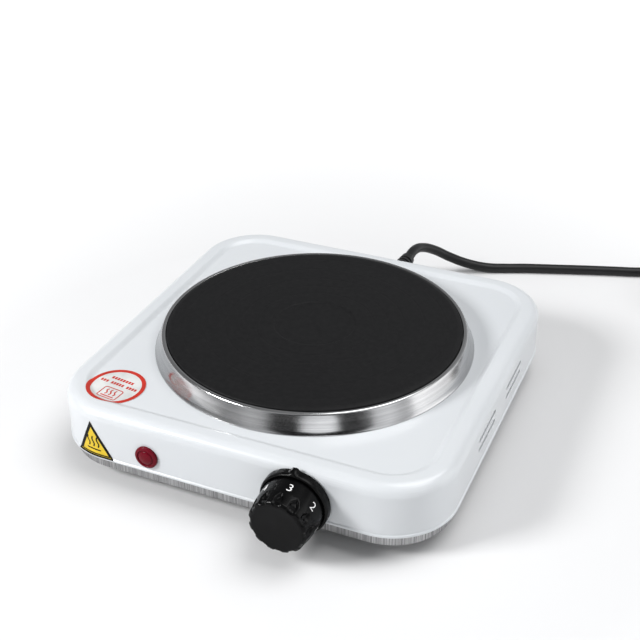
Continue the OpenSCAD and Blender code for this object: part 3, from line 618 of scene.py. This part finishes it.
def steel_ring():
    """Pressed trim ring: a flared side from the panel up to a rolled lip round the plate."""
    foot, lip, low = RING_R / MM, LIP_Z / MM, PANEL_Z / MM
    inner = PLATE_R / MM + 0.3
    shoulder = PLATE_Z / MM - 5.5
    skirt = PLATE_R / MM - 2.3
    sheet, roll = 0.6, 1.3
    top_r, top_z = foot - 5, lip - roll
    low_r, low_z = foot - 0.25, low + 0.7
    high_r, high_z = top_r + 1.2, top_z + 0.45
    profile = [(foot, low + 0.02), (foot, low + 0.4), (low_r, low_z)]
    for share in (0.2, 0.4, 0.6, 0.8):
        profile.append((low_r + (high_r - low_r) * share, low_z + (high_z - low_z) * share))
    profile += arc(top_r, top_z, roll, 20, 90, 7)
    profile += arc(inner + 0.5, lip - 0.6, 0.5, 90, 180, 4)
    profile += [(inner, shoulder), (skirt, shoulder)]
    profile += [(skirt, shoulder - sheet), (inner + sheet, shoulder - sheet)]
    profile += [(inner + sheet, lip - 0.8), (top_r, lip - sheet), (top_r + sheet, lip - 1.6)]
    profile += [(foot - 0.9, low + 0.7), (foot - 0.8, low + 0.02)]
    obj = lathe("steel_ring", scaled(profile), on_plate(), 256, 40)
    return piece(obj, "ring_steel", ("trim_ring",))


cooking_plate()
steel_ring()


# ---------- Dial ----------

# Millimetres from the wall or the axis, and degrees clockwise from the top.
KNOB_STEPS = 360
DRUM_TO = 6.4
TAPER = 0.3
FLUTES = 12
FLUTE_DEPTH = 1.3
GRIP_FROM = 14.6
FACE_R = 14.3
FACE_EDGE = 1.6
FACE_ROUND = 2.5
DIGIT_SIZE = 6.3
DIGIT_THIN = -0.04
DIGIT_AT = 10.9
DIGIT_FIRST = 160
DIGIT_STEP = 51


def polar(r, angle, z):
    """A point round the dial's axis. The angle runs clockwise from the top."""
    return (r * math.sin(angle), r * math.cos(angle), z)


def ring_of(radius_at, z, steps=KNOB_STEPS):
    """A ring of points whose radius is worked out from the angle."""
    return [polar(radius_at(TAU * k / steps), TAU * k / steps, z) for k in range(steps)]


def skirt_radius(z):
    """Radius of the knob without its grip, in millimetres, at a distance out from the wall."""
    reach, r = KNOB_REACH / MM, KNOB_R / MM
    if z < DRUM_TO:
        return r
    if z < GRIP_FROM:
        return r - TAPER * (z - DRUM_TO) / (GRIP_FROM - DRUM_TO)
    u = (z - GRIP_FROM) / (reach - FACE_EDGE - GRIP_FROM)
    return r - TAPER - (r - TAPER - FACE_R) * min(1, u)


def grip_depth(angle, z):
    """Depth of the hollows: broad lands between them, round ends at the wall side, shallower at the face."""
    wave = abs(math.cos(FLUTES * angle / 2))
    start = GRIP_FROM + 2.2 * (1 - wave ** 6)
    shallow = 1 - 0.4 * eased((z - KNOB_REACH / MM + 4.5) / 2.5)
    return FLUTE_DEPTH * shallow * eased((z - start) / 2.2) * eased((wave - 0.5) / 0.45)


def knob_body():
    """The knob: a plain drum for the numbers, a fluted grip and a slightly dished face."""
    reach, back = KNOB_REACH / MM, KNOB_BACK / MM
    heights = [back] + [back + 0.25 + 0.9 * i for i in range(14)]
    heights = [z for z in heights if z < GRIP_FROM]
    rim = reach - FACE_EDGE
    heights += [GRIP_FROM + (rim - GRIP_FROM) * i / 26 for i in range(27)]
    last = skirt_radius(rim)
    rows = [[(0, 0, back + 3)]]
    for r, z in ((11.5, back + 3), (12.8, back + 2.8), (13.4, back)):
        rows.append(ring_of(lambda turn: r, z))
    for z in heights:
        ease = 0.3 if z == back else 0
        rows.append(ring_of(lambda turn: skirt_radius(z) - ease - grip_depth(turn, z), z))
    for u, v in arc(0, 0, 1, 8, 90, 10):
        rows.append(ring_of(
            lambda turn: last - FACE_ROUND + (FACE_ROUND - grip_depth(turn, rim)) * u,
            rim + FACE_EDGE * v,
        ))
    # The face's own plastic starts in the last three bands of its round edge.
    face_from = (len(rows) - 4) * KNOB_STEPS
    for share, dip in ((0.8, 0.05), (0.6, 0.11), (0.3, 0.15)):
        rows.append(ring_of(lambda turn: last * share, reach - dip))
    rows.append([(0, 0, reach - 0.16)])
    points, faces = loft(rows, on_front(DIAL_AT) @ Matrix.Scale(MM, 4))
    kinds = [1 if i >= face_from else 0 for i in range(len(faces))]
    obj = mesh_object("dial_knob", points, faces, 60, kinds)
    return piece(obj, "knob_plastic", ("knob",), DIAL, (MATERIALS["knob_plastic"], FACE_BLACK))


def digit_mesh(text, size):
    """A digit as fine triangles, with its middle at the origin, x to the right and y up."""
    data = bpy.data.curves.new("digit", "FONT")
    data.body = text
    data.size = size
    data.offset = DIGIT_THIN
    data.align_x = "CENTER"
    data.align_y = "CENTER"
    holder = bpy.data.objects.new("digit", data)
    bpy.context.scene.collection.objects.link(holder)
    bpy.context.view_layer.update()
    depsgraph = bpy.context.evaluated_depsgraph_get()
    flat = bpy.data.meshes.new_from_object(holder.evaluated_get(depsgraph))
    bpy.data.objects.remove(holder)
    bpy.data.curves.remove(data)
    bm = bmesh.new()
    bm.from_mesh(flat)
    bpy.data.meshes.remove(flat)
    bmesh.ops.remove_doubles(bm, verts=bm.verts, dist=size * 1e-4)
    for _ in range(3):
        bmesh.ops.triangulate(bm, faces=bm.faces)
        long = [e for e in bm.edges if e.calc_length() > size * 0.09]
        if long:
            bmesh.ops.subdivide_edges(bm, edges=long, cuts=1)
    bmesh.ops.triangulate(bm, faces=bm.faces)
    return bm


def knob_digits():
    """Numbers 0 to 5 printed round the skirt, rising anticlockwise, each with its top to the wall."""
    whole = bmesh.new()
    place = on_front(DIAL_AT) @ Matrix.Scale(MM, 4)
    for number in range(6):
        bm = digit_mesh(str(number), DIGIT_SIZE)
        xs = [v.co.x for v in bm.verts]
        ys = [v.co.y for v in bm.verts]
        cx, cy = (min(xs) + max(xs)) / 2, (min(ys) + max(ys)) / 2
        start = math.radians(DIGIT_FIRST - DIGIT_STEP * number)
        bm.verts.index_update()
        verts = {}
        for v in bm.verts:
            z = DIGIT_AT - (v.co.y - cy)
            r = skirt_radius(z) + 0.03
            verts[v.index] = whole.verts.new(place @ Vector(polar(r, start + (v.co.x - cx) / r, z)))
        for corners in {frozenset(v.index for v in face.verts) for face in bm.faces}:
            whole.faces.new([verts[i] for i in sorted(corners)])
        bm.free()
    obj = bm_object("dial_numbers", whole, 80)
    return piece(obj, "knob_plastic", (), DIAL, (PRINT_WHITE,))


def knob_collar():
    """Fixed collar round the knob, with a small pointer at its top and a recess for the hem."""
    r, h = COLLAR_R / MM, COLLAR_H / MM
    nub, nub_turn = 1.25, 6

    def swell(angle):
        turn = math.degrees((angle + math.pi) % TAU - math.pi)
        return nub * math.exp(-(turn / nub_turn) ** 4)

    sections = [
        (r - 0.2, 0.55, 1), (r, 0.75, 1), (r, 1.6, 1), (r, 2.6, 0.97), (r - 0.02, 3.3, 0.85),
        (r - 0.06, 4.0, 0.6), (r - 0.15, h - 0.7, 0.4), (r - 0.35, h - 0.25, 0.25),
        (r - 0.65, h, 0.1), (r - 1.0, h, 0), (r - 1.2, h - 0.2, 0), (r - 1.2, 1.2, 0),
        (6.5, 1.2, 0), (4.7, 1.2, 0), (4.7, 0.55, 0), (8, 0.55, 0),
    ]
    rows = [ring_of(lambda turn: base + share * swell(turn), z, 192) for base, z, share in sections]
    points, faces = loft(rows, on_front(DIAL_AT) @ Matrix.Scale(MM, 4), True)
    obj = mesh_object("knob_collar", points, faces, 40)
    return piece(obj, "collar_plastic", ("dial_collar",))


knob_body()
knob_digits()
knob_collar()


# ---------- Lamp ----------

def lamp_cap():
    """Red lens: a rim, a shallow step and a domed middle, with its barrel through the wall."""
    r = LAMP_R / MM
    profile = [(0, -11), (4.4, -11), (4.6, -10.7), (4.6, 0), (r, 0.02)]
    profile += arc(r - 0.6, 0.9, 0.6, 0, 90, 5) + arc(r - 1.3, 1.45, 0.3, 60, 150, 3)
    profile += [(r - 1.75, 1.25), (r - 2.1, 1.3)]
    dome = [math.radians(a) for a in (15, 30, 45, 60, 75)]
    profile += [((r - 2.1) * math.cos(t), 1.3 + 1.05 * math.sin(t)) for t in dome]
    profile += [(0, 2.35)]
    obj = lathe("lamp_cap", scaled(profile), on_front(LAMP_AT), 96, 45)
    return piece(obj, "lamp_red", ("lamp_lens",))


lamp_cap()


# ---------- Labels ----------

LABEL_LIFT = 0.16 * MM
LABEL_AT = (-SIDE_X + 28.5 * MM, FRONT_Y + 24.5 * MM)
# In millimetres, and degrees of lean.
LABEL_R = 15
LABEL_LEAN = -7
PRINT_LIFT = 0.05
PRINT_STEP = 0.6
PRINT_STRIP = 0.45
TRIANGLE = [(28.0, 21.2), (18.4, 0.7), (39.8, 0.7)]
TRIANGLE_BORDER = 1.65

HOUSING = bpy.data.objects["housing"].data
HOUSING_TOP = BVHTree.FromPolygons(
    [v.co[:] for v in HOUSING.vertices], [p.vertices[:] for p in HOUSING.polygons],
)


def panel_height(x, y):
    """Height of the housing's top at a place."""
    return HOUSING_TOP.ray_cast(Vector((x, y, RIM_Z + 10 * MM)), Vector((0, 0, -1)))[0].z


def on_panel(x, y, lift):
    """A label point in millimetres, laid on the housing's top."""
    wx, wy = LABEL_AT[0] + x * MM, LABEL_AT[1] + y * MM
    return (wx, wy, panel_height(wx, wy) + LABEL_LIFT + lift * MM)


def on_wall(x, z, lift):
    """A label point in millimetres from the front wall's lower left corner, laid on the wall."""
    inward = max(CORNER_R - x * MM, 0)
    forward = math.sqrt(CORNER_R ** 2 - inward ** 2)
    hem = min(HEM_OUT, max(0, HEM_H - z * MM))
    wall = Vector((-SIDE_X + x * MM, FRONT_Y + CORNER_R - forward, WALL_Z + z * MM))
    out = Vector((-inward, -forward, 0)).normalized()
    return wall + out * (LABEL_LIFT * 0.4 + hem + lift * MM)


def ribbon(bm, path, width, lay, closed=False):
    """A printed line of even width along a path, laid on a surface."""
    fine = []
    ends = list(zip(path, path[1:] + path[:1])) if closed else list(zip(path, path[1:]))
    for a, b in ends:
        count = max(1, int(math.dist(a, b) / PRINT_STEP))
        fine += [(a[0] + (b[0] - a[0]) * i / count, a[1] + (b[1] - a[1]) * i / count) for i in range(count)]
    if not closed:
        fine.append(path[-1])
    n = len(fine)
    across = max(1, math.ceil(width / PRINT_STRIP))
    offsets = [width * (k / across - 0.5) for k in range(across + 1)]
    rows = []
    for i, p in enumerate(fine):
        a = fine[(i - 1) % n] if closed or i else fine[0]
        b = fine[(i + 1) % n] if closed or i < n - 1 else fine[-1]
        t = Vector((b[0] - a[0], b[1] - a[1])).normalized()
        rows.append([bm.verts.new(lay(p[0] - t.y * off, p[1] + t.x * off, PRINT_LIFT)) for off in offsets])
    for i in range(n if closed else n - 1):
        j = (i + 1) % n
        for k in range(across):
            face = bm.faces.new((rows[i][k], rows[i][k + 1], rows[j][k + 1], rows[j][k]))
            face.material_index = 1


def patch(bm, corners, lay, across, along):
    """A printed four-sided patch, in a grid of across by along faces."""
    grid = []
    for i in range(along + 1):
        v = i / along
        a = [p + (q - p) * v for p, q in zip(corners[0], corners[3])]
        b = [p + (q - p) * v for p, q in zip(corners[1], corners[2])]
        grid.append([
            bm.verts.new(lay(*(p + (q - p) * k / across for p, q in zip(a, b)), PRINT_LIFT))
            for k in range(across + 1)
        ])
    for i in range(along):
        for k in range(across):
            face = bm.faces.new((grid[i][k], grid[i][k + 1], grid[i + 1][k + 1], grid[i + 1][k]))
            face.material_index = 1


def circle_path(r, steps=96):
    turns = [TAU * i / steps for i in range(steps)]
    return [(r * math.cos(t), r * math.sin(t)) for t in turns]


def wavy(x, low, high, sway, steps=14):
    """An upright line that sways once to each side."""
    return [(x + sway * math.sin(TAU * i / steps), low + (high - low) * i / steps) for i in range(steps + 1)]


def leaning(path):
    """A path turned by the round label's lean."""
    c, s = math.cos(math.radians(LABEL_LEAN)), math.sin(math.radians(LABEL_LEAN))
    return [(x * c - y * s, x * s + y * c) for x, y in path]


def word_row(bm, centre, letters, height, pitch):
    """A row of plain blocks where a caution would be printed. A space leaves a gap."""
    start = centre[0] - pitch * len(letters) / 2
    y0, y1 = centre[1] - height / 2, centre[1] + height / 2
    for i, letter in enumerate(letters):
        if letter == " ":
            continue
        x0, x1 = start + pitch * (i + 0.14), start + pitch * (i + 0.86)
        patch(bm, leaning([(x0, y0), (x1, y0), (x1, y1), (x0, y1)]), on_panel, 2, 3)


def round_label():
    """White film with a red ring, two rows of plain blocks and a sign of heat above a plate in a frame."""
    bm = bmesh.new()
    steps, rings = 96, 40
    grid = [[bm.verts.new(on_panel(0, 0, 0))]]
    for i in range(1, rings + 1):
        grid.append([bm.verts.new(on_panel(*p, 0)) for p in circle_path(LABEL_R * i / rings, steps)])
    foot = [bm.verts.new(on_panel(*p, -0.1)) for p in circle_path(LABEL_R + 0.02, steps)]
    for k in range(steps):
        j = (k + 1) % steps
        bm.faces.new((grid[0][0], grid[1][k], grid[1][j]))
        for i in range(1, rings):
            bm.faces.new((grid[i][k], grid[i + 1][k], grid[i + 1][j], grid[i][j]))
        bm.faces.new((grid[rings][k], foot[k], foot[j], grid[rings][j]))
    ribbon(bm, circle_path(LABEL_R - 1.2), 2.1, on_panel, True)
    outline = []
    for x, y, start in ((5.4, -3.1, 0), (-3.4, -3.1, 90), (-3.4, -9.0, 180), (5.4, -9.0, 270)):
        outline += arc(x, y, 1.1, start, start + 90, 5)
    ribbon(bm, leaning(outline), 0.55, on_panel, True)
    for x in (-1.4, 1.0, 3.4):
        ribbon(bm, leaning(wavy(x, -7.5, -3.2, 0.55)), 0.7, on_panel)
    ribbon(bm, leaning([(-2.9, -8.7), (4.9, -8.7)]), 0.7, on_panel)
    word_row(bm, (-0.3, 5.8), "o" * 8, 1.9, 1.7)
    word_row(bm, (0.1, 1.9), "ooo ooooo oooo", 1.9, 1.6)
    obj = bm_object("panel_label", bm, 60)
    return piece(obj, "label_red", ("caution_label",), BODY, (LABEL_FILM, MATERIALS["label_red"]))


def wall_label():
    """Yellow triangle with a black border and three lines of rising heat, wrapped round the corner."""
    bm = bmesh.new()
    top, left, right = TRIANGLE
    steps = 40
    grid = [[bm.verts.new(on_wall(*top, 0))]]
    for i in range(1, steps + 1):
        share = i / steps
        x0 = top[0] + (left[0] - top[0]) * share
        x1 = top[0] + (right[0] - top[0]) * share
        z = top[1] + (left[1] - top[1]) * share
        grid.append([bm.verts.new(on_wall(x0 + (x1 - x0) * k / i, z, 0)) for k in range(i + 1)])
    for up, down in zip(grid, grid[1:]):
        for k in range(len(up)):
            bm.faces.new((up[k], down[k], down[k + 1]))
            if k < len(up) - 1:
                bm.faces.new((up[k], down[k + 1], up[k + 1]))
    sides = [math.dist(left, right), math.dist(right, top), math.dist(top, left)]
    centre = [sum(side * c[a] for side, c in zip(sides, TRIANGLE)) / sum(sides) for a in (0, 1)]
    kept = 1 - TRIANGLE_BORDER / (centre[1] - left[1])
    inner = [tuple(centre[a] + (c[a] - centre[a]) * kept for a in (0, 1)) for c in TRIANGLE]
    for i in range(3):
        j = (i + 1) % 3
        patch(bm, (TRIANGLE[i], inner[i], inner[j], TRIANGLE[j]), on_wall, 4, 40)
    for x in (-2.7, 0, 2.7):
        ribbon(bm, wavy(centre[0] + x, 6.2, 12.2, 0.55), 0.8, on_wall)
    ribbon(bm, [(centre[0] - 4.2, 4.6), (centre[0] + 4.2, 4.6)], 0.8, on_wall)
    obj = bm_object("wall_label", bm, 60)
    return piece(obj, "label_yellow", ("hot_surface_label",), BODY, (MATERIALS["label_yellow"], PRINT_BLACK))


round_label()
wall_label()


# ---------- Stage ----------

LAMPS = (
    ("key", (-0.944, -0.904, 0.918), 0.42, 21.5),
    ("side", (1.45, 0.5, 0.3), 1.1, 5),
    ("top", (0.5, 0.2, 1.4), 1.0, 13),
)
LAMPS_AIM = Vector((0, 0, 0.03))
SKY_FRONT = (0.445, -0.896, 0)
SKY_RIGHT = (0.91, 0.41, 0)
SKY_SHADE = (
    (0, 0.3), (0.55, 0.34), (0.68, 0.6), (0.8, 0.5),
    (0.84, 0.01), (0.967, 0.01), (0.978, 1), (1, 1),
)


def stage_floor():
    """A white floor. It glows a little away from the object, where the lamps reach less."""
    bm = bmesh.new()
    bmesh.ops.create_grid(bm, x_segments=8, y_segments=8, size=4)
    floor = bm_object("floor", bm)
    mat, tree, bsdf = shader("floor", (0.74, 0.74, 0.745), 0.7, Emission_Color=(1, 1, 1, 1))
    tint(tree, bsdf, noise(tree, 3), (0.735, 0.735, 0.74), (0.745, 0.745, 0.75))
    coords = tree.nodes.new("ShaderNodeTexCoord")
    far = vector_value(tree, "LENGTH", coords.outputs["Object"])
    tree.links.new(spread(tree, far, 0, 0.55, 0.2, 0.7), bsdf.inputs["Emission Strength"])
    floor.data.materials.append(mat)


def lamps():
    """Soft lamps of a width in metres and a power in watts: front left, right and above."""
    for name, place, size, power in LAMPS:
        data = bpy.data.lights.new(name, "AREA")
        data.size = size
        data.energy = power
        lamp = bpy.data.objects.new(name, data)
        lamp.location = place
        lamp.rotation_euler = (LAMPS_AIM - Vector(place)).to_track_quat("-Z", "Y").to_euler()
        bpy.context.scene.collection.objects.link(lamp)


def sky():
    """Soft light all round, brighter low down and to the right.

    SKY_SHADE gives the brightness by how far a direction is towards SKY_FRONT. Its narrow bright middle
    has a dark band round it, which the polished ring mirrors as two dark patches.
    """
    world = bpy.data.worlds.new("world")
    bpy.context.scene.world = world
    world.use_nodes = True
    tree = world.node_tree
    back = tree.nodes["Background"]
    back.inputs["Color"].default_value = (0.97, 0.985, 1, 1)
    direction = tree.nodes.new("ShaderNodeTexCoord").outputs["Generated"]
    split = tree.nodes.new("ShaderNodeSeparateXYZ")
    tree.links.new(direction, split.inputs["Vector"])
    height = spread(tree, split.outputs["Z"], 2, 1.1, 0.3, 0.8)
    height.node.interpolation_type = "SMOOTHSTEP"
    shade = tree.nodes.new("ShaderNodeFloatCurve")
    curve = shade.mapping.curves[0]
    for point, place in zip(curve.points, (SKY_SHADE[0], SKY_SHADE[-1])):
        point.location = place
    for place in SKY_SHADE[1:-1]:
        curve.points.new(*place)
    for point in curve.points:
        point.handle_type = "VECTOR"
    shade.mapping.update()
    tree.links.new(vector_value(tree, "DOT_PRODUCT", direction, SKY_FRONT), shade.inputs["Value"])
    side = spread(tree, vector_value(tree, "DOT_PRODUCT", direction, SKY_RIGHT), 0.5, 1.15, -1, 1)
    level = maths(tree, "MULTIPLY", height, shade.outputs["Value"])
    tree.links.new(maths(tree, "MULTIPLY", level, side), back.inputs["Strength"])


stage_floor()
lamps()
sky()
bpy.context.scene.view_settings.view_transform = "Standard"
